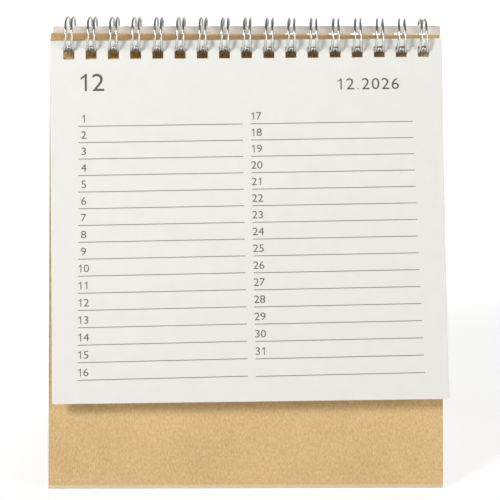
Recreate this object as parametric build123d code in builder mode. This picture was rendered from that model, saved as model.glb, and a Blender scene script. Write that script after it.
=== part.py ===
import os
from math import asin, atan2, cos, radians, sin, tan

from build123d import *

os.makedirs("parts", exist_ok=True)

# Easel card: front panel, base and rear panel folded from one strip
card_width = 150.0
card_thickness = 1.2
base_depth = 104.0
fold_radius = 0.8
score_depth = 0.35
score_width = 1.0

# Square punching along every top edge
pitch = 25.4 / 3
punch_margin = 6.0
hole_side = 4.2
hole_margin = 2.9

# Twin-loop wire
wire_diameter = 0.9
ring_radius = 7.2
axis_z = 165.4
strand_half_gap = 1.15
root_half_gap = 1.55
tip_half_gap = 0.5
root_angle = 39.5
straight_angle = 95.0
arc_angle = 275.0
narrow_angle = 360.0 - 30.0
close_angle = 360.0 + 30.0
tip_angle = 360.0 + 50.0

# Where the panels hang on the wire: angle on the ring, and depth in the hole
front_angle = 34.8
rear_angle = 360.0 - 58.3
front_seat = 2.34
rear_seat = 1.24

# Paper, cut as wide as the card
leaf_height = 138.0
leaf_thickness = 0.12
turned_count = 5
leaf_angle = 47.1
leaf_skew = 0.7
leaf_stand_off = 0.4
curl_start = 40.0
curl_left = 3.6
curl_right = 5.6
hang_angle = 18.0
turned_skew = 0.2

# Clearances
wire_clearance = 0.3
card_clearance = 0.3

# Derived values
half_base = base_depth / 2
loop_count = int((card_width - 2 * punch_margin) / pitch) + 1
leaf_width = card_width
turned_thickness = turned_count * leaf_thickness
half_wire = wire_diameter / 2
half_row = pitch * (loop_count - 1) / 2


def on_ring(angle, x=0.0):
    """Point on the ring, its angle counted from the lowest point towards the front."""
    a = radians(angle)
    return Vector(x, -ring_radius * sin(a), axis_z - ring_radius * cos(a))


def panel(angle, seat):
    """Slope of a panel hung on the ring at an angle, and its top edge's distance from middle and desk."""
    crossing = on_ring(angle)
    lean = atan2(half_base - abs(crossing.Y), crossing.Z)
    above = hole_margin + seat
    return lean, abs(crossing.Y) - above * sin(lean), crossing.Z + above * cos(lean)


front_slope, front_top, front_rise = panel(front_angle, front_seat)
rear_slope, rear_top, rear_rise = panel(rear_angle, rear_seat)


# Easel stand
def inner_foot(slope):
    """Distance of a panel's inner face from the middle, at the base's upper side."""
    return half_base - card_thickness / cos(slope) - card_thickness * tan(slope)


def inner_top(top, rise, slope):
    """Distance from the middle and height of a panel's inner top edge."""
    return top - card_thickness * cos(slope), rise - card_thickness * sin(slope)


front_inner, front_inner_rise = inner_top(front_top, front_rise, front_slope)
rear_inner, rear_inner_rise = inner_top(rear_top, rear_rise, rear_slope)

with BuildPart() as stand:
    with BuildSketch(Plane.YZ) as profile:
        with BuildLine():
            Polyline(
                (-front_top, front_rise),
                (-half_base, 0),
                (half_base, 0),
                (rear_top, rear_rise),
                (rear_inner, rear_inner_rise),
                (inner_foot(rear_slope), card_thickness),
                (-inner_foot(front_slope), card_thickness),
                (-front_inner, front_inner_rise),
                close=True,
            )
        make_face()
        fillet(profile.vertices().group_by(Axis.Y)[1], fold_radius)
        fillet(profile.vertices().group_by(Axis.Y)[0], fold_radius + card_thickness)
    extrude(amount=card_width / 2, both=True)
    with BuildSketch(Plane.YZ):
        with BuildLine():
            Polyline(
                (-score_width / 2, card_thickness),
                (score_width / 2, card_thickness),
                (0, card_thickness - score_depth),
                close=True,
            )
        make_face()
    extrude(amount=card_width / 2, both=True, mode=Mode.SUBTRACT)
    for side, top, rise, slope in (
        (-1, front_top, front_rise, front_slope),
        (1, rear_top, rear_rise, rear_slope),
    ):
        face_plane = Plane(
            origin=(0, side * top, rise),
            x_dir=(1, 0, 0),
            z_dir=(0, side * cos(slope), sin(slope)),
        )
        with BuildSketch(face_plane):
            with Locations((0, side * (hole_margin + hole_side / 2))):
                with GridLocations(pitch, 1, loop_count, 1):
                    Rectangle(hole_side, hole_side)
        extrude(amount=-2 * card_thickness, both=True, mode=Mode.SUBTRACT)
stand.part.label = "easel_stand"
export_step(stand.part, "parts/easel_stand.step")

# Binding wire: each loop runs from its root, over the top and round to its closing tip, and back
root_steps = 3
arc_steps = 12
rear_steps = 7
bends = [(root_angle + (straight_angle - root_angle) * k / root_steps) for k in range(root_steps)]
bends += [(straight_angle + (arc_angle - straight_angle) * k / arc_steps) for k in range(arc_steps)]
bends += [(arc_angle + (tip_angle - arc_angle) * k / rear_steps) for k in range(rear_steps + 1)]


def strand_x(angle):
    """Half the gap between a loop's two strands, wider at the root and narrower at the closing tip."""
    flare = max(0.0, (straight_angle - angle) / (straight_angle - root_angle))
    closing = min(1.0, max(0.0, (angle - narrow_angle) / (close_angle - narrow_angle)))
    narrowing = (strand_half_gap - tip_half_gap) * closing
    return strand_half_gap + (root_half_gap - strand_half_gap) * flare - narrowing


bend_sag = ring_radius * (1 - cos(radians(tip_angle - arc_angle) / rear_steps / 2))
rise_strand = [on_ring(angle, -strand_x(angle)) for angle in bends]
fall_strand = [on_ring(angle, strand_x(angle)) for angle in reversed(bends)]
wire_start = on_ring(root_angle, -pitch / 2)
wire_end = on_ring(root_angle, pitch / 2)

with BuildPart() as wire:
    with BuildLine() as path:
        Polyline(wire_start, *rise_strand, *fall_strand, wire_end)
    with BuildSketch(Plane(origin=wire_start, x_dir=(0, 0, 1), z_dir=(1, 0, 0))) as section:
        RegularPolygon(half_wire, 6)
    loop = sweep(section.sketch, path=path.wires()[0], transition=Transition.RIGHT, mode=Mode.PRIVATE)
    with GridLocations(pitch, 1, loop_count, 1):
        add(loop)
wire.part.label = "binding_wire"
export_step(wire.part, "parts/binding_wire.step")

# Front leaf, hanging a little askew and curling away from the card at its foot
lean = front_slope + radians(leaf_stand_off)
skew = radians(leaf_skew)
leaf_normal = Vector(0, -cos(lean), sin(lean))
leaf_across = Vector(cos(skew), sin(skew) * sin(lean), sin(skew) * cos(lean))
leaf_plane = Plane(origin=on_ring(leaf_angle), x_dir=leaf_across, z_dir=leaf_normal)
wire_half_length = half_wire / cos(radians(leaf_angle) - lean)
leaf_hole_top = wire_half_length + wire_clearance + half_row * sin(skew)
leaf_top = leaf_hole_top + hole_margin
curl_length = leaf_height - leaf_top - curl_start


def curl_point(curl, depth, share):
    """Point of the curled foot on the sheet's face at the given depth from its middle."""
    radius = curl_length**2 / (2 * curl)
    turn = curl_length * share / radius
    return (radius - (radius - depth) * cos(turn), -curl_start - (radius - depth) * sin(turn))


with BuildPart() as leaf:
    for x, curl in ((-leaf_width / 2, curl_left), (leaf_width / 2, curl_right)):
        end_middle = leaf_plane.from_local_coords((x, 0, 0))
        end_plane = Plane(origin=end_middle, x_dir=leaf_normal, z_dir=-leaf_across)
        front = leaf_thickness / 2
        with BuildSketch(end_plane):
            with BuildLine():
                Line((-front, leaf_top), (front, leaf_top))
                Line((front, leaf_top), curl_point(curl, front, 0))
                ThreePointArc(*[curl_point(curl, front, k) for k in (0, 0.5, 1)])
                Line(curl_point(curl, front, 1), curl_point(curl, -front, 1))
                ThreePointArc(*[curl_point(curl, -front, k) for k in (1, 0.5, 0)])
                Line(curl_point(curl, -front, 0), (-front, leaf_top))
            make_face()
    loft(ruled=True)
    with BuildSketch(leaf_plane):
        with Locations((0, leaf_hole_top - hole_side / 2)):
            with GridLocations(pitch, 1, loop_count, 1):
                Rectangle(hole_side, hole_side)
    extrude(amount=1, both=True, mode=Mode.SUBTRACT)
leaf.part.label = "front_leaf"
export_step(leaf.part, "parts/front_leaf.step")

# Turned leaves, hanging behind the rear panel with their foot against it
wire_inner = ring_radius - half_wire - bend_sag
turned_reach = wire_inner * cos(radians(hang_angle)) - turned_thickness / 2
turned_drop = half_row * sin(radians(turned_skew))
turned_hole_top = wire_clearance + turned_drop - wire_inner * sin(radians(hang_angle))
turned_top = turned_hole_top + hole_margin
panel_reach = rear_top * cos(rear_slope) - (axis_z - rear_rise) * sin(rear_slope)
panel_gap = turned_reach - turned_thickness / 2 - panel_reach - card_clearance
turned_lean = rear_slope - asin(panel_gap / (leaf_height - turned_top))
turned_normal = Vector(0, cos(turned_lean), sin(turned_lean))
turned_up = Vector(0, -sin(turned_lean), cos(turned_lean))
turned_across = Vector(1, 0, 0) * cos(radians(turned_skew)) + turned_up * sin(radians(turned_skew))
turned_plane = Plane(
    origin=Vector(0, 0, axis_z) + turned_normal * turned_reach, x_dir=-turned_across, z_dir=turned_normal
)

with BuildPart() as turned:
    with BuildSketch(turned_plane):
        with Locations((0, turned_top - leaf_height / 2)):
            Rectangle(leaf_width, leaf_height)
        with Locations((0, turned_hole_top - hole_side / 2)):
            with GridLocations(pitch, 1, loop_count, 1):
                Rectangle(hole_side, hole_side, mode=Mode.SUBTRACT)
    extrude(amount=turned_thickness / 2, both=True)
turned.part.label = "turned_leaves"
export_step(turned.part, "parts/turned_leaves.step")
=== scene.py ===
import random
from math import asin, atan2, cos, radians, sin

import bmesh
import bpy
from mathutils import Matrix, Vector


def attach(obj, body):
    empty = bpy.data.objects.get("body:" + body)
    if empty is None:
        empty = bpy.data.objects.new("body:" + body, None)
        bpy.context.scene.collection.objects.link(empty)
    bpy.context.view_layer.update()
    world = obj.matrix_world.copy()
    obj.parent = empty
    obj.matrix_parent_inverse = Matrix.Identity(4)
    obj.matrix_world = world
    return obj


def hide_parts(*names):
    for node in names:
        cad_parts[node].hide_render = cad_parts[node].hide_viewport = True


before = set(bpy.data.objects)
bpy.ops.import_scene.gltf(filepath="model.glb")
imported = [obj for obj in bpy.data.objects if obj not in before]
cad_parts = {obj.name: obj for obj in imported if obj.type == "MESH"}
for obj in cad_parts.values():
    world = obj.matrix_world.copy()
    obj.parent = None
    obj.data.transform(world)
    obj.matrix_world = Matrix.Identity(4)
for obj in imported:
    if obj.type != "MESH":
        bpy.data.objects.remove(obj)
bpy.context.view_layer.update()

MM = 0.001

# Card stand, punching and ring of the wire, in mm and degrees, as in the solids
CARD_WIDTH = 150.0
HALF_BASE = 52.0
PITCH = 25.4 / 3
LOOP_COUNT = 17
HOLE_SIDE = 4.2
HOLE_MARGIN = 2.9
WIRE_RADIUS = 0.45
WIRE_CLEARANCE = 0.3
CARD_CLEARANCE = 0.3
RING_RADIUS = 7.2
RING_AXIS_Z = 165.4
FRONT_ANGLE = 34.8
REAR_ANGLE = 301.7
REAR_SEAT = 1.24
# How far the straight lengths of the solid wire cut inside its ring
BEND_SAG = 0.102
HALF_ROW = PITCH * (LOOP_COUNT - 1) / 2

# Leaves, as in the solids but for more curl at the left foot and more skew behind
LEAF_HEIGHT = 138.0
LEAF_THICKNESS = 0.12
LEAF_ANGLE = 47.1
LEAF_SKEW = radians(0.7)
LEAF_STAND_OFF = radians(0.4)
CURL_START = 40.0
CURL_LEFT = 5.2
CURL_RIGHT = 5.6
TURNED_COUNT = 5
TURNED_SKEW = radians(0.4)
HANG_ANGLE = radians(18)


def on_ring(angle, x=0.0, radius=RING_RADIUS):
    """Point on the ring in mm, its angle counted from the lowest point towards the front."""
    a = radians(angle)
    return Vector((x, -radius * sin(a), RING_AXIS_Z - radius * cos(a)))


def panel_slope(angle):
    """Slope of a card panel that hangs on the ring at an angle."""
    crossing = on_ring(angle)
    return atan2(HALF_BASE - abs(crossing.y), crossing.z)


FRONT_SLOPE = panel_slope(FRONT_ANGLE)
REAR_SLOPE = panel_slope(REAR_ANGLE)
# Top edge of the rear panel, from the middle and from the desk
REAR_CROSSING = on_ring(REAR_ANGLE)
REAR_ABOVE = HOLE_MARGIN + REAR_SEAT
REAR_TOP = abs(REAR_CROSSING.y) - REAR_ABOVE * sin(REAR_SLOPE)
REAR_RISE = REAR_CROSSING.z + REAR_ABOVE * cos(REAR_SLOPE)

LEAF_LEAN = FRONT_SLOPE + LEAF_STAND_OFF
WIRE_HALF_LENGTH = WIRE_RADIUS / cos(radians(LEAF_ANGLE) - LEAF_LEAN)
LEAF_HOLE_TOP = WIRE_HALF_LENGTH + WIRE_CLEARANCE + HALF_ROW * sin(LEAF_SKEW)
LEAF_TOP = LEAF_HOLE_TOP + HOLE_MARGIN
CURL_LENGTH = LEAF_HEIGHT - LEAF_TOP - CURL_START
LEAF_NORMAL = Vector((0, -cos(LEAF_LEAN), sin(LEAF_LEAN)))
LEAF_ACROSS = Vector((
    cos(LEAF_SKEW), sin(LEAF_SKEW) * sin(LEAF_LEAN), sin(LEAF_SKEW) * cos(LEAF_LEAN)))
LEAF_UP = LEAF_NORMAL.cross(LEAF_ACROSS)

WIRE_INNER = RING_RADIUS - WIRE_RADIUS - BEND_SAG
TURNED_THICKNESS = TURNED_COUNT * LEAF_THICKNESS
TURNED_REACH = WIRE_INNER * cos(HANG_ANGLE) - TURNED_THICKNESS / 2
TURNED_HOLE_TOP = WIRE_CLEARANCE + HALF_ROW * sin(TURNED_SKEW) - WIRE_INNER * sin(HANG_ANGLE)
TURNED_TOP = TURNED_HOLE_TOP + HOLE_MARGIN
PANEL_REACH = REAR_TOP * cos(REAR_SLOPE) - (RING_AXIS_Z - REAR_RISE) * sin(REAR_SLOPE)
PANEL_GAP = TURNED_REACH - TURNED_THICKNESS / 2 - PANEL_REACH - CARD_CLEARANCE
TURNED_LEAN = REAR_SLOPE - asin(PANEL_GAP / (LEAF_HEIGHT - TURNED_TOP))
TURNED_NORMAL = Vector((0, cos(TURNED_LEAN), sin(TURNED_LEAN)))
TURNED_RISE = Vector((0, -sin(TURNED_LEAN), cos(TURNED_LEAN)))
TURNED_ACROSS = Vector((cos(TURNED_SKEW), 0, 0)) + TURNED_RISE * sin(TURNED_SKEW)
TURNED_UP = TURNED_RISE * cos(TURNED_SKEW) - Vector((sin(TURNED_SKEW), 0, 0))


def hole_centre(index):
    """Distance of a punched hole or loop from the middle, in mm."""
    return (index - (LOOP_COUNT - 1) / 2) * PITCH


def on_leaf(x, v, lift=0.0):
    """Point on the curled leaf in metres: x across, v up from the wire, lift off its middle."""
    share = (x + CARD_WIDTH / 2) / CARD_WIDTH
    curl = CURL_LEFT + (CURL_RIGHT - CURL_LEFT) * share
    radius = CURL_LENGTH**2 / (2 * curl)
    turn = max(0.0, -CURL_START - v) / radius
    up = max(v, -CURL_START) - (radius - lift) * sin(turn)
    out = radius - (radius - lift) * cos(turn)
    return (on_ring(LEAF_ANGLE) + LEAF_ACROSS * x + LEAF_UP * up + LEAF_NORMAL * out) * MM


# Shared helpers
# Sockets of a Mix node, which share their names: factor, two numbers, two colours and the results
MIX_FACTOR = 0
MIX_NUMBER_A = 2
MIX_NUMBER_B = 3
MIX_COLOUR_A = 6
MIX_COLOUR_B = 7
MIX_NUMBER_OUT = 0
MIX_COLOUR_OUT = 2
SHARP_ANGLE = radians(40)


def srgb(code, alpha=1.0):
    """Linear colour of an sRGB hex value."""
    parts = [int(code[k:k + 2], 16) / 255 for k in (0, 2, 4)]
    linear = [p / 12.92 if p <= 0.04045 else ((p + 0.055) / 1.055) ** 2.4 for p in parts]
    return linear + [alpha]


def add(tree, kind, inputs=None, **settings):
    """Adds a node with its settings, and with its inputs set to a value or linked to an output."""
    node = tree.nodes.new(kind)
    for name, value in settings.items():
        setattr(node, name, value)
    for name, value in (inputs or {}).items():
        if isinstance(value, bpy.types.NodeSocket):
            tree.links.new(value, node.inputs[name])
        else:
            node.inputs[name].default_value = value
    return node


def new_material(name):
    """An empty node material and its node tree."""
    material = bpy.data.materials.new(name)
    material.use_nodes = True
    material.node_tree.nodes.clear()
    return material, material.node_tree


def place(name, bm, material, body):
    """Makes an object of a finished bmesh, smooth but for its sharp edges, that rides on a body."""
    mesh = bpy.data.meshes.new(name)
    bm.to_mesh(mesh)
    bm.free()
    mesh.materials.append(material)
    mesh.polygons.foreach_set("use_smooth", [True] * len(mesh.polygons))
    mesh.set_sharp_from_angle(angle=SHARP_ANGLE)
    piece = bpy.data.objects.new(name, mesh)
    bpy.context.scene.collection.objects.link(piece)
    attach(piece, body)
    return piece


def stops(ramp, *pairs):
    """Sets the stops of a colour ramp to positions and colours."""
    elements = ramp.color_ramp.elements
    while len(elements) < len(pairs):
        elements.new(0.5)
    for element, (position, colour) in zip(elements, pairs):
        element.position = position
        element.color = colour


# Materials
def kraft_card():
    """Unbleached kraft liner on solid card: a warm tan with fine pale and dark fibres,
    a few brown specks, and a paler band near the desk where the card is folded:
    partly cracked kraft, partly painted light from the white floor below."""
    material, tree = new_material("unbleached_kraft_card")
    place_on = add(tree, "ShaderNodeTexCoord").outputs["Object"]
    # Fibres about 2.5 mm long and 0.35 mm wide, drawn as coarse as they need to show
    fibre_place = add(tree, "ShaderNodeMapping", {
        "Vector": place_on, "Scale": (2800, 2800, 400)})
    fibres = add(tree, "ShaderNodeTexNoise", {
        "Vector": fibre_place.outputs["Vector"], "Scale": 1.0, "Detail": 3.0, "Roughness": 0.6})
    fibre_tone = add(tree, "ShaderNodeValToRGB", {"Fac": fibres.outputs["Fac"]})
    stops(fibre_tone, (0.3, srgb("CDA970")), (0.52, srgb("DCBC88")), (0.72, srgb("E7CB9E")))
    # Cloudy tone over about 25 mm
    clouds = add(tree, "ShaderNodeTexNoise", {"Vector": place_on, "Scale": 40.0, "Detail": 2.0})
    cloud_tone = add(tree, "ShaderNodeMapRange", {
        "Value": clouds.outputs["Fac"], "From Min": 0.3, "From Max": 0.7,
        "To Min": 0.95, "To Max": 1.03})
    toned = add(tree, "ShaderNodeMix", data_type="RGBA", blend_type="MULTIPLY", inputs={
        MIX_FACTOR: 1.0, MIX_COLOUR_A: fibre_tone.outputs["Color"],
        MIX_COLOUR_B: cloud_tone.outputs["Result"]})
    # Specks about 0.4 mm across, one in every 2 mm or so
    specks = add(tree, "ShaderNodeTexVoronoi", {
        "Vector": place_on, "Scale": 450.0, "Randomness": 1.0})
    speck_mask = add(tree, "ShaderNodeMapRange", {
        "Value": specks.outputs["Distance"], "From Min": 0.06, "From Max": 0.12,
        "To Min": 0.55, "To Max": 0.0})
    speckled = add(tree, "ShaderNodeMix", data_type="RGBA", inputs={
        MIX_FACTOR: speck_mask.outputs["Result"],
        MIX_COLOUR_A: toned.outputs[MIX_COLOUR_OUT], MIX_COLOUR_B: srgb("A57E45")})
    # Pale band along the folds, up to about 2.4 mm above the desk: partly cracked kraft, partly
    # painted light from the white floor below
    height = add(tree, "ShaderNodeSeparateXYZ", {"Vector": place_on}).outputs["Z"]
    ragged = add(tree, "ShaderNodeMath", operation="MULTIPLY_ADD", inputs={
        0: fibres.outputs["Fac"], 1: 0.0012, 2: height})
    crease_and_floor_light = add(tree, "ShaderNodeMapRange", {
        "Value": ragged.outputs["Value"], "From Min": 0.0008, "From Max": 0.003,
        "To Min": 1.0, "To Max": 0.0})
    creased_and_lit = add(tree, "ShaderNodeMix", data_type="RGBA", inputs={
        MIX_FACTOR: crease_and_floor_light.outputs["Result"],
        MIX_COLOUR_A: speckled.outputs[MIX_COLOUR_OUT], MIX_COLOUR_B: srgb("FFF5E3")})
    bump = add(tree, "ShaderNodeBump", {
        "Height": fibres.outputs["Fac"], "Strength": 0.35, "Distance": 0.00006})
    shader = add(tree, "ShaderNodeBsdfPrincipled", {
        "Base Color": creased_and_lit.outputs[MIX_COLOUR_OUT], "Roughness": 0.86, "IOR": 1.45,
        "Specular IOR Level": 0.25, "Normal": bump.outputs["Normal"]})
    add(tree, "ShaderNodeOutputMaterial", {"Surface": shader.outputs["BSDF"]})
    return material


def uncoated_paper(name, colour, shade):
    """Uncoated offset paper: a warm white with a faint cloudy formation and a very fine tooth."""
    material, tree = new_material(name)
    place_on = add(tree, "ShaderNodeTexCoord").outputs["Object"]
    # Cloudy formation over about 6 mm
    formation = add(tree, "ShaderNodeTexNoise", {
        "Vector": place_on, "Scale": 170.0, "Detail": 3.0})
    tone = add(tree, "ShaderNodeValToRGB", {"Fac": formation.outputs["Fac"]})
    stops(tone, (0.3, srgb(shade)), (0.7, srgb(colour)))
    # Tooth of about 0.3 mm
    tooth = add(tree, "ShaderNodeTexNoise", {"Vector": place_on, "Scale": 3300.0, "Detail": 2.0})
    bump = add(tree, "ShaderNodeBump", {
        "Height": tooth.outputs["Fac"], "Strength": 0.2, "Distance": 0.00003})
    shader = add(tree, "ShaderNodeBsdfPrincipled", {
        "Base Color": tone.outputs["Color"], "Roughness": 0.9, "IOR": 1.45,
        "Specular IOR Level": 0.2, "Normal": bump.outputs["Normal"]})
    add(tree, "ShaderNodeOutputMaterial", {"Surface": shader.outputs["BSDF"]})
    return material


def plated_wire():
    """Nickel-plated drawn steel wire: pale grey with sharp highlights and faint draw marks."""
    material, tree = new_material("nickel_plated_steel_wire")
    place_on = add(tree, "ShaderNodeTexCoord").outputs["Object"]
    # Draw marks and handling about 0.6 mm long
    marks = add(tree, "ShaderNodeTexNoise", {"Vector": place_on, "Scale": 1600.0, "Detail": 3.0})
    tone = add(tree, "ShaderNodeValToRGB", {"Fac": marks.outputs["Fac"]})
    stops(tone, (0.35, srgb("BDBDBC")), (0.7, srgb("D2D2D0")))
    gloss = add(tree, "ShaderNodeMapRange", {
        "Value": marks.outputs["Fac"], "From Min": 0.3, "From Max": 0.7,
        "To Min": 0.18, "To Max": 0.3})
    shader = add(tree, "ShaderNodeBsdfPrincipled", {
        "Base Color": tone.outputs["Color"], "Metallic": 1.0,
        "Roughness": gloss.outputs["Result"]})
    add(tree, "ShaderNodeOutputMaterial", {"Surface": shader.outputs["BSDF"]})
    return material


def printing_ink(name, colour, thin):
    """Offset ink on uncoated paper: a flat warm grey, a little broken over the paper's tooth."""
    material, tree = new_material(name)
    place_on = add(tree, "ShaderNodeTexCoord").outputs["Object"]
    # Broken cover over about 0.4 mm
    cover = add(tree, "ShaderNodeTexNoise", {"Vector": place_on, "Scale": 2500.0, "Detail": 2.0})
    tone = add(tree, "ShaderNodeValToRGB", {"Fac": cover.outputs["Fac"]})
    stops(tone, (0.35, srgb(colour)), (0.8, srgb(thin)))
    shader = add(tree, "ShaderNodeBsdfPrincipled", {
        "Base Color": tone.outputs["Color"], "Roughness": 0.75, "IOR": 1.48,
        "Specular IOR Level": 0.25})
    add(tree, "ShaderNodeOutputMaterial", {"Surface": shader.outputs["BSDF"]})
    return material


kraft = kraft_card()
leaf_paper = uncoated_paper("uncoated_white_paper", "EFEEE9", "EDECE7")
# The turned sheets are the same paper as the leaf, painted lighter to lift their shaded faces
lightened_turned_paper = uncoated_paper("uncoated_paper_reverse_painted_lighter", "FAF7F3", "F8F5F0")
wire_metal = plated_wire()
text_ink = printing_ink("warm_grey_text_ink", "59554D", "77736A")
rule_ink = printing_ink("warm_grey_rule_ink", "76736B", "908D85")

# Card stand keeps its solid
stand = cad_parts["easel_stand"]
stand.data.materials.clear()
stand.data.materials.append(kraft)


# Paper sheets
CORNER_RADIUS = 0.9


def punched_sheet(hole_top, top, rows, thickness):
    """A flat punched sheet in mm: x across, y up, z through it, with rounded feet and even rows."""
    bm = bmesh.new()
    bmesh.ops.create_grid(bm, x_segments=1, y_segments=1, size=0.5)
    bmesh.ops.scale(bm, vec=(CARD_WIDTH, LEAF_HEIGHT, 1), verts=bm.verts)
    bmesh.ops.translate(bm, vec=(0, top - LEAF_HEIGHT / 2, -thickness / 2), verts=bm.verts)
    feet = [v for v in bm.verts if v.co.y < 0]
    bmesh.ops.bevel(bm, geom=feet, offset=CORNER_RADIUS, offset_type="OFFSET", segments=4,
                    profile=0.5, affect="VERTICES", material=-1)
    cuts = [((0, hole_top, 0), (0, 1, 0)), ((0, hole_top - HOLE_SIDE, 0), (0, 1, 0))]
    for index in range(LOOP_COUNT):
        for side in (-1, 1):
            cuts.append(((hole_centre(index) + side * HOLE_SIDE / 2, 0, 0), (1, 0, 0)))
    foot = top - LEAF_HEIGHT
    row_start = hole_top - HOLE_SIDE - HOLE_MARGIN
    for row in range(rows):
        cuts.append(((0, row_start + (foot - row_start) * row / rows, 0), (0, 1, 0)))
    for point, normal in cuts:
        geometry = bm.verts[:] + bm.edges[:] + bm.faces[:]
        bmesh.ops.bisect_plane(bm, geom=geometry, plane_co=point, plane_no=normal)
    holes = []
    for face in bm.faces:
        middle = face.calc_center_median()
        nearest = round(middle.x / PITCH) * PITCH
        in_row = hole_top - HOLE_SIDE < middle.y < hole_top
        in_column = abs(middle.x - nearest) < HOLE_SIDE / 2
        if in_row and in_column and abs(nearest) < HALF_ROW + PITCH / 2:
            holes.append(face)
    bmesh.ops.delete(bm, geom=holes, context="FACES")
    grown = bmesh.ops.extrude_face_region(bm, geom=bm.faces[:])["geom"]
    front = [v for v in grown if isinstance(v, bmesh.types.BMVert)]
    bmesh.ops.translate(bm, vec=(0, 0, thickness), verts=front)
    bmesh.ops.recalc_face_normals(bm, faces=bm.faces)
    return bm


LEAF_ROWS = 36
sheet = punched_sheet(LEAF_HOLE_TOP, LEAF_TOP, LEAF_ROWS, LEAF_THICKNESS)
for vert in sheet.verts:
    vert.co = on_leaf(*vert.co)
front_leaf = place("front_leaf_sheet", sheet, leaf_paper, "front_leaf")
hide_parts("front_leaf")

# Turned leaves, five separate sheets a hair apart, unevenly trimmed.
# They lie a little to the right, so that the leaning loops clear their holes.
TURNED_ROWS = 4
TURNED_ASIDE = 0.5
ASIDE_SPREAD = 0.04
TRIM_LEAST = 0.002
TRIM_MOST = 0.004
SHEET_GAP = 0.02
RANDOM_SEED = 12
random.seed(RANDOM_SEED)
stack = bmesh.new()
for number in range(TURNED_COUNT):
    depth = TURNED_REACH + (number - (TURNED_COUNT - 1) / 2) * LEAF_THICKNESS
    aside = TURNED_ASIDE + random.uniform(-ASIDE_SPREAD, ASIDE_SPREAD)
    sheet = punched_sheet(TURNED_HOLE_TOP, TURNED_TOP, TURNED_ROWS, LEAF_THICKNESS - SHEET_GAP)
    trim = 1 - random.uniform(TRIM_LEAST, TRIM_MOST)
    for vert in sheet.verts:
        across = TURNED_ACROSS * (vert.co.x * trim + aside)
        through = TURNED_NORMAL * (depth - vert.co.z)
        vert.co = (Vector((0, 0, RING_AXIS_Z)) + across + TURNED_UP * vert.co.y + through) * MM
    bmesh.ops.recalc_face_normals(sheet, faces=sheet.faces)
    flat = bpy.data.meshes.new("turned_sheet")
    sheet.to_mesh(flat)
    sheet.free()
    stack.from_mesh(flat)
    bpy.data.meshes.remove(flat)
turned = place("turned_leaf_sheets", stack, lightened_turned_paper, "turned_leaves")
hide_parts("turned_leaves")


# Print on the front leaf
INK_LIFT = 0.012
PRINT_LIFT = LEAF_THICKNESS / 2 + INK_LIFT
RULE_COUNT = 16
RULE_WIDTH = 0.3
RULE_PARTS = 24
RULE_BOW = 0.86
# Ends of the first and last rule of each column: left x, left v, right x, right v
COLUMN_TOP = ((-64.25, -28.15, -1.9, -27.75), (1.25, -27.7, 63.25, -27.3))
COLUMN_FOOT = ((-65.3, -124.6, -1.2, -123.85), (1.9, -124.0, 65.85, -123.35))

# Heights and places of the numerals, in mm
DAY_COUNT = 31
DAY_HEIGHT = 2.9
DAY_GAP = 1.5
DAY_INSET = 2.0
MONTH_HEIGHT = 6.6
MONTH_LEFT = -64.4
MONTH_FOOT = -14.7
DATE_HEIGHT = 4.3
DATE_LEFT = 33.8
DATE_FOOT = -14.85

# Spacing and strokes of the numerals, in shares of their height
ADVANCE = 0.78
DATE_ADVANCE = 0.88
POINT_ADVANCE = 0.5
WIDEN = 1.1
STROKE = 0.125
STEM_ASIDE = 0.07
FLAG_WIDTH = 0.24
FLAG_SLANT = 0.65
FLAG_HEIGHT = 0.8


def rule_ends(column, row):
    """Both ends of one rule, stepped from the first to the last and bowed up between them."""
    share = row / (RULE_COUNT - 1)
    bow = 4 * RULE_BOW * share * (1 - share)
    ends = [a + (b - a) * share for a, b in zip(COLUMN_TOP[column], COLUMN_FOOT[column])]
    return ends[0], ends[1] + bow, ends[2], ends[3] + bow


def lay_on_leaf(bm):
    """Bends a flat print in mm onto the front of the leaf."""
    for vert in bm.verts:
        vert.co = on_leaf(vert.co.x, vert.co.y, PRINT_LIFT)


def flagged_one():
    """Mesh of a plain 1 with a slanted flag, one unit high and centred on its cell."""
    bm = bmesh.new()
    stem = bmesh.ops.create_grid(bm, x_segments=1, y_segments=1, size=0.5)["verts"]
    bmesh.ops.scale(bm, vec=(STROKE, 1, 1), verts=stem)
    bmesh.ops.translate(bm, vec=(STEM_ASIDE, 0.5, 0), verts=stem)
    flag = bmesh.ops.create_grid(bm, x_segments=1, y_segments=1, size=0.5)["verts"]
    bmesh.ops.scale(bm, vec=(FLAG_WIDTH, STROKE, 1), verts=flag)
    slant = Matrix(((1, 0, 0), (FLAG_SLANT, 1, 0), (0, 0, 1)))
    bmesh.ops.transform(bm, matrix=slant.to_4x4(), verts=flag)
    flag_aside = STEM_ASIDE - STROKE / 2 - FLAG_WIDTH / 2
    bmesh.ops.translate(bm, vec=(flag_aside, FLAG_HEIGHT, 0), verts=flag)
    mesh = bpy.data.meshes.new("figure")
    bm.to_mesh(mesh)
    bm.free()
    return mesh


def evaluated_mesh(piece):
    """Mesh of a curve or text object as Blender draws it."""
    bpy.context.view_layer.update()
    depsgraph = bpy.context.evaluated_depsgraph_get()
    return bpy.data.meshes.new_from_object(piece.evaluated_get(depsgraph))


def text_mesh(text):
    """Flat mesh of a text in the built-in face."""
    curve = bpy.data.curves.new("figure", "FONT")
    curve.body = text
    curve.resolution_u = 4
    letters = bpy.data.objects.new("figure", curve)
    bpy.context.scene.collection.objects.link(letters)
    mesh = evaluated_mesh(letters)
    bpy.data.objects.remove(letters)
    bpy.data.curves.remove(curve)
    return mesh


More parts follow.
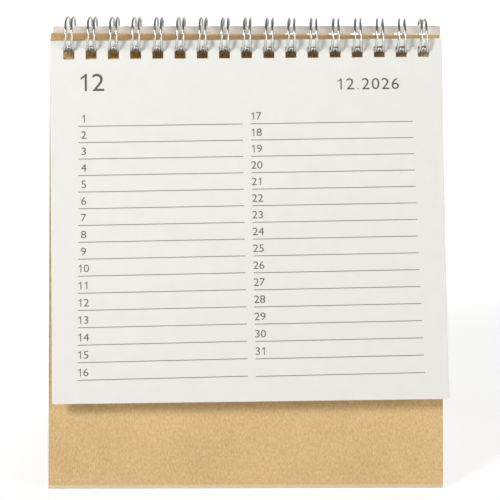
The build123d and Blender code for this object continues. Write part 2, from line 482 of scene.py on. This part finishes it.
def figure_meshes():
    """One centred mesh for each figure and the point, figures one unit high on a foot at zero."""
    made = {}
    for sign in "023456789.":
        mesh = text_mesh(sign)
        across = [v.co.x for v in mesh.vertices]
        upward = [v.co.y for v in mesh.vertices]
        height, widen = (STROKE, 1.0) if sign == "." else (1, WIDEN)
        scale = height / (max(upward) - min(upward))
        middle = Matrix.Translation((-(min(across) + max(across)) / 2, -min(upward), 0))
        mesh.transform(Matrix.Diagonal((scale * widen, scale, 1, 1)) @ middle)
        made[sign] = mesh
    made["1"] = flagged_one()
    return made


FIGURES = figure_meshes()


def numerals(bm, text, height, advance, left=None, centre=None, foot=0.0):
    """Adds flat numerals of a height in even cells, by their left end or centre and their foot."""
    steps = [(POINT_ADVANCE if sign == "." else advance) * height for sign in text]
    at = left if left is not None else centre - sum(steps) / 2
    for sign, step in zip(text, steps):
        mesh = FIGURES[sign].copy()
        size = Matrix.Diagonal((height, height, 1, 1))
        mesh.transform(Matrix.Translation((at + step / 2, foot, 0)) @ size)
        bm.from_mesh(mesh)
        bpy.data.meshes.remove(mesh)
        at += step


rules = bmesh.new()
for column in range(2):
    for row in range(RULE_COUNT):
        x0, v0, x1, v1 = rule_ends(column, row)
        strip = bmesh.ops.create_grid(rules, x_segments=RULE_PARTS, y_segments=1, size=0.5)["verts"]
        for vert in strip:
            along = vert.co.x + 0.5
            v = v0 + (v1 - v0) * along + vert.co.y * RULE_WIDTH
            vert.co = (x0 + (x1 - x0) * along, v, 0)
lay_on_leaf(rules)
place("leaf_rules", rules, rule_ink, "front_leaf")

figures = bmesh.new()
for day in range(1, DAY_COUNT + 1):
    x0, v0 = rule_ends(*divmod(day - 1, RULE_COUNT))[:2]
    numerals(figures, str(day), DAY_HEIGHT, ADVANCE, centre=x0 + DAY_INSET, foot=v0 + DAY_GAP)
numerals(figures, "12", MONTH_HEIGHT, ADVANCE, left=MONTH_LEFT, foot=MONTH_FOOT)
numerals(figures, "12.2026", DATE_HEIGHT, DATE_ADVANCE, left=DATE_LEFT, foot=DATE_FOOT)
lay_on_leaf(figures)
place("leaf_numerals", figures, text_ink, "front_leaf")
for mesh in FIGURES.values():
    bpy.data.meshes.remove(mesh)


# Binding wire, one continuous round wire with loops a little uneven and the last one knocked.
# Its loops stay clear of the holes of both leaf groups all along their turn.
ARC_STEPS = 40
# Half the gap between a loop's strands: in front, at the root, behind and at the closing tip
STRAND_HALF_GAP = 1.12
ROOT_HALF_GAP = 1.6
REAR_HALF_GAP = 0.95
TIP_HALF_GAP = 0.6
GAP_SPREAD = 0.05
# Where on the ring a loop starts, runs straight, narrows, has closed and ends
ROOT_ANGLE = 39.5
STRAIGHT_ANGLE = 100.0
NARROW_ANGLE = 330.0
CLOSE_ANGLE = 390.0
TIP_ANGLE = 422.0
# Sideways lean behind the top, and where it sets in, is full, fades and ends
REAR_LEAN = 0.97
LEAN_DRIFT = -0.1
LEAN_SPREAD = 0.07
LEAN_START = 150.0
LEAN_FULL = 212.0
LEAN_BACK = 284.0
LEAN_END = 300.0
# Radius at the closing tip, and the share by which each loop is smaller than the ring
TIP_RADIUS = 7.1
LOOP_DROP = 0.002
# The last loop: nearly upright, its gap a share of the others', and dented in front by a share
KNOCKED_LEAN = -0.15
KNOCKED_GAP = 0.8
KNOCKED_DROP = 0.08
KNOCKED_ANGLE = 98.0
DENT_SHARPNESS = 4


def ramp(angle, low, high):
    """Share of the way from a low to a high angle, from 0 to 1."""
    return min(1.0, max(0.0, (angle - low) / (high - low)))


def lean_share(angle):
    """Share of a loop's sideways lean, all behind the top, none in front or in the rear panel."""
    return ramp(angle, LEAN_START, LEAN_FULL) * (1 - ramp(angle, LEAN_BACK, LEAN_END))


def half_gap(angle, spread):
    """Half the gap between a loop's strands, wide at the root, narrow behind and at the tip."""
    behind = ramp(angle, LEAN_START, LEAN_FULL)
    plain = STRAND_HALF_GAP + (REAR_HALF_GAP - STRAND_HALF_GAP) * behind
    flare = 1 - ramp(angle, ROOT_ANGLE, STRAIGHT_ANGLE)
    gap = plain * (spread + (1 - spread) * flare)
    closing = ramp(angle, NARROW_ANGLE, CLOSE_ANGLE)
    return gap + (ROOT_HALF_GAP - gap) * flare - (gap - TIP_HALF_GAP) * closing


def loop_radius(angle, drop):
    """Radius of a loop, dented in front by a share and smaller at its closing tip."""
    dent = drop * max(0.0, cos(radians(angle - KNOCKED_ANGLE))) ** DENT_SHARPNESS
    closing = ramp(angle, NARROW_ANGLE, CLOSE_ANGLE)
    return RING_RADIUS * (1 - LOOP_DROP - dent) - (RING_RADIUS - TIP_RADIUS) * closing


def wire_points():
    """Control points of the whole wire in mm, loop by loop from its left end."""
    points = []
    sweep = TIP_ANGLE - ROOT_ANGLE
    arc = [ROOT_ANGLE + sweep * k / ARC_STEPS for k in range(ARC_STEPS + 1)]
    for index in range(LOOP_COUNT):
        centre = hole_centre(index)
        drift = LEAN_DRIFT * centre / HALF_ROW
        lean = REAR_LEAN + drift + random.uniform(-LEAN_SPREAD, LEAN_SPREAD)
        spread = 1 + random.uniform(-GAP_SPREAD, GAP_SPREAD)
        drop = 0.0
        if index == LOOP_COUNT - 1:
            lean, spread, drop = KNOCKED_LEAN, KNOCKED_GAP, KNOCKED_DROP
        points.append(on_ring(ROOT_ANGLE, centre - PITCH / 2))
        for side, angles in ((-1, arc), (1, arc[::-1])):
            for angle in angles:
                x = centre + side * half_gap(angle, spread) + lean * lean_share(angle)
                points.append(on_ring(angle, x, loop_radius(angle, drop)))
    points.append(on_ring(ROOT_ANGLE, hole_centre(LOOP_COUNT - 1) + PITCH / 2))
    return points


path = bpy.data.curves.new("binding_wire_path", "CURVE")
path.dimensions = "3D"
path.bevel_depth = WIRE_RADIUS * MM
path.bevel_resolution = 3
path.resolution_u = 2
path.use_fill_caps = True
spline = path.splines.new("NURBS")
route = wire_points()
spline.points.add(len(route) - 1)
for control, point in zip(spline.points, route):
    control.co = (*(point * MM), 1)
spline.order_u = 3
spline.use_endpoint_u = True
line = bpy.data.objects.new("binding_wire_path", path)
bpy.context.scene.collection.objects.link(line)
wire_mesh = evaluated_mesh(line)
bpy.data.objects.remove(line)
bpy.data.curves.remove(path)
tube = bmesh.new()
tube.from_mesh(wire_mesh)
bpy.data.meshes.remove(wire_mesh)
bmesh.ops.recalc_face_normals(tube, faces=tube.faces)
wire = place("binding_wire_round", tube, wire_metal, "stand")
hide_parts("binding_wire")


# Floor, light and camera
def white_floor():
    """Matt white sweep that shows white to the camera and keeps a soft shadow."""
    material, tree = new_material("matt_white_sweep")
    rays = add(tree, "ShaderNodeLightPath").outputs
    mirrored = add(tree, "ShaderNodeMath", operation="MAXIMUM", inputs={
        0: rays["Is Camera Ray"], 1: rays["Is Glossy Ray"]})
    shown = add(tree, "ShaderNodeMath", operation="MAXIMUM", inputs={
        0: mirrored.outputs["Value"], 1: rays["Is Transmission Ray"]})
    matt = add(tree, "ShaderNodeBsdfDiffuse", {"Color": srgb("F2F2F0")})
    shade = add(tree, "ShaderNodeBsdfDiffuse", {"Color": srgb("BCBCBB")})
    # Brighter away from the object, from 0.25 to 1 m, so that the floor runs out to white
    place_on = add(tree, "ShaderNodeTexCoord").outputs["Object"]
    away = add(tree, "ShaderNodeVectorMath", {0: place_on}, operation="LENGTH")
    clean = add(tree, "ShaderNodeMapRange", {
        "Value": away.outputs["Value"], "From Min": 0.25, "From Max": 1.0,
        "To Min": 0.7, "To Max": 0.94})
    glow = add(tree, "ShaderNodeEmission", {
        "Color": srgb("FFFFFF"), "Strength": clean.outputs["Result"]})
    seen = add(tree, "ShaderNodeAddShader", {0: shade.outputs["BSDF"], 1: glow.outputs["Emission"]})
    mixed = add(tree, "ShaderNodeMixShader", {
        0: shown.outputs["Value"], 1: matt.outputs["BSDF"], 2: seen.outputs["Shader"]})
    add(tree, "ShaderNodeOutputMaterial", {"Surface": mixed.outputs["Shader"]})
    return material


FLOOR_SIZE = 6.0
floor_mesh = bmesh.new()
bmesh.ops.create_grid(floor_mesh, x_segments=1, y_segments=1, size=FLOOR_SIZE / 2)
floor_data = bpy.data.meshes.new("floor")
floor_mesh.to_mesh(floor_data)
floor_mesh.free()
floor_data.materials.append(white_floor())
floor = bpy.data.objects.new("floor", floor_data)
bpy.context.scene.collection.objects.link(floor)


# Strength of the studio's own soft light on matt surfaces
DIFFUSE_LEVEL = 0.03


def studio_world():
    """Pale studio: white to the camera, and to the wire bright behind and dim all round."""
    world = bpy.data.worlds.new("pale_studio")
    bpy.context.scene.world = world
    world.use_nodes = True
    tree = world.node_tree
    tree.nodes.clear()
    rays = add(tree, "ShaderNodeLightPath").outputs
    direction = add(tree, "ShaderNodeTexCoord").outputs["Generated"]
    facing = add(tree, "ShaderNodeSeparateXYZ", {"Vector": direction}).outputs
    aside = add(tree, "ShaderNodeMath", {0: facing["X"]}, operation="ABSOLUTE")
    behind = add(tree, "ShaderNodeMapRange", {
        "Value": facing["Y"], "From Min": -0.35, "From Max": 0.55,
        "To Min": 0.4, "To Max": 1.0})
    flanks = add(tree, "ShaderNodeMapRange", {
        "Value": aside.outputs["Value"], "From Min": 0.35, "From Max": 0.75,
        "To Min": 1.0, "To Max": 0.1})
    above = add(tree, "ShaderNodeMapRange", {
        "Value": facing["Z"], "From Min": 0.4, "From Max": 0.8,
        "To Min": 1.0, "To Max": 0.45})
    walls = add(tree, "ShaderNodeMath", operation="MULTIPLY", inputs={
        0: behind.outputs["Result"], 1: flanks.outputs["Result"]})
    mirrored = add(tree, "ShaderNodeMath", operation="MULTIPLY", inputs={
        0: walls.outputs["Value"], 1: above.outputs["Result"]})
    soft = add(tree, "ShaderNodeMix", {
        MIX_FACTOR: rays["Is Glossy Ray"], MIX_NUMBER_A: DIFFUSE_LEVEL,
        MIX_NUMBER_B: mirrored.outputs["Value"]})
    clear = add(tree, "ShaderNodeMath", operation="MAXIMUM", inputs={
        0: rays["Is Camera Ray"], 1: rays["Is Transmission Ray"]})
    strength = add(tree, "ShaderNodeMix", {
        MIX_FACTOR: clear.outputs["Value"], MIX_NUMBER_A: soft.outputs[MIX_NUMBER_OUT],
        MIX_NUMBER_B: 1.0})
    sky = add(tree, "ShaderNodeBackground", {
        "Color": srgb("FFFFFF"), "Strength": strength.outputs[MIX_NUMBER_OUT]})
    add(tree, "ShaderNodeOutputWorld", {"Surface": sky.outputs["Background"]})


studio_world()


def softbox(name, position, aim, size, power):
    """A square area lamp, its place, aim and size in metres and its power in watts."""
    lamp = bpy.data.lights.new(name, "AREA")
    lamp.size = size
    lamp.energy = power
    holder = bpy.data.objects.new(name, lamp)
    holder.location = position
    towards = Vector(aim) - Vector(position)
    holder.rotation_euler = towards.to_track_quat("-Z", "Y").to_euler()
    bpy.context.scene.collection.objects.link(holder)
    return holder


softbox("key", (-0.98, -1.0, 0.92), (0, -0.03, 0.09), 0.44, 18.2)
softbox("fill", (1.92, -1.42, 0.34), (0, 0, 0.09), 1.2, 32.0)
back = softbox("back", (0.5, 1.9, 1.1), (0, 0.03, 0.09), 1.4, 31.0)
# Keeps the loops' tops from burning out against the white
back.visible_glossy = False

# Camera of the photograph, with its focal length in pixels of the 500-pixel frame
CAMERA_PLACE = Vector((-28.175, -810.453, 292.532)) * MM
CAMERA_PITCH = radians(14.632)
CAMERA_YAW = radians(2.156)
CAMERA_ROLL = radians(0.629)
FOCAL_PIXELS = 2128.58
IMAGE_PIXELS = 500
SENSOR_WIDTH = 36.0
CLIP_END = 20.0
ahead = Vector((
    sin(CAMERA_YAW) * cos(CAMERA_PITCH), cos(CAMERA_YAW) * cos(CAMERA_PITCH), -sin(CAMERA_PITCH)))
level = Vector((cos(CAMERA_YAW), -sin(CAMERA_YAW), 0))
upright = level.cross(ahead)
right = level * cos(CAMERA_ROLL) + upright * sin(CAMERA_ROLL)
upward = right.cross(ahead)
turn = Matrix((right, upward, -ahead)).transposed()
camera_data = bpy.data.cameras.new("camera")
camera_data.sensor_width = SENSOR_WIDTH
camera_data.lens = FOCAL_PIXELS / IMAGE_PIXELS * SENSOR_WIDTH
camera_data.clip_end = CLIP_END
camera = bpy.data.objects.new("camera", camera_data)
camera.matrix_world = Matrix.Translation(CAMERA_PLACE) @ turn.to_4x4()
bpy.context.scene.collection.objects.link(camera)
bpy.context.scene.camera = camera
bpy.context.scene.view_settings.view_transform = "Standard"
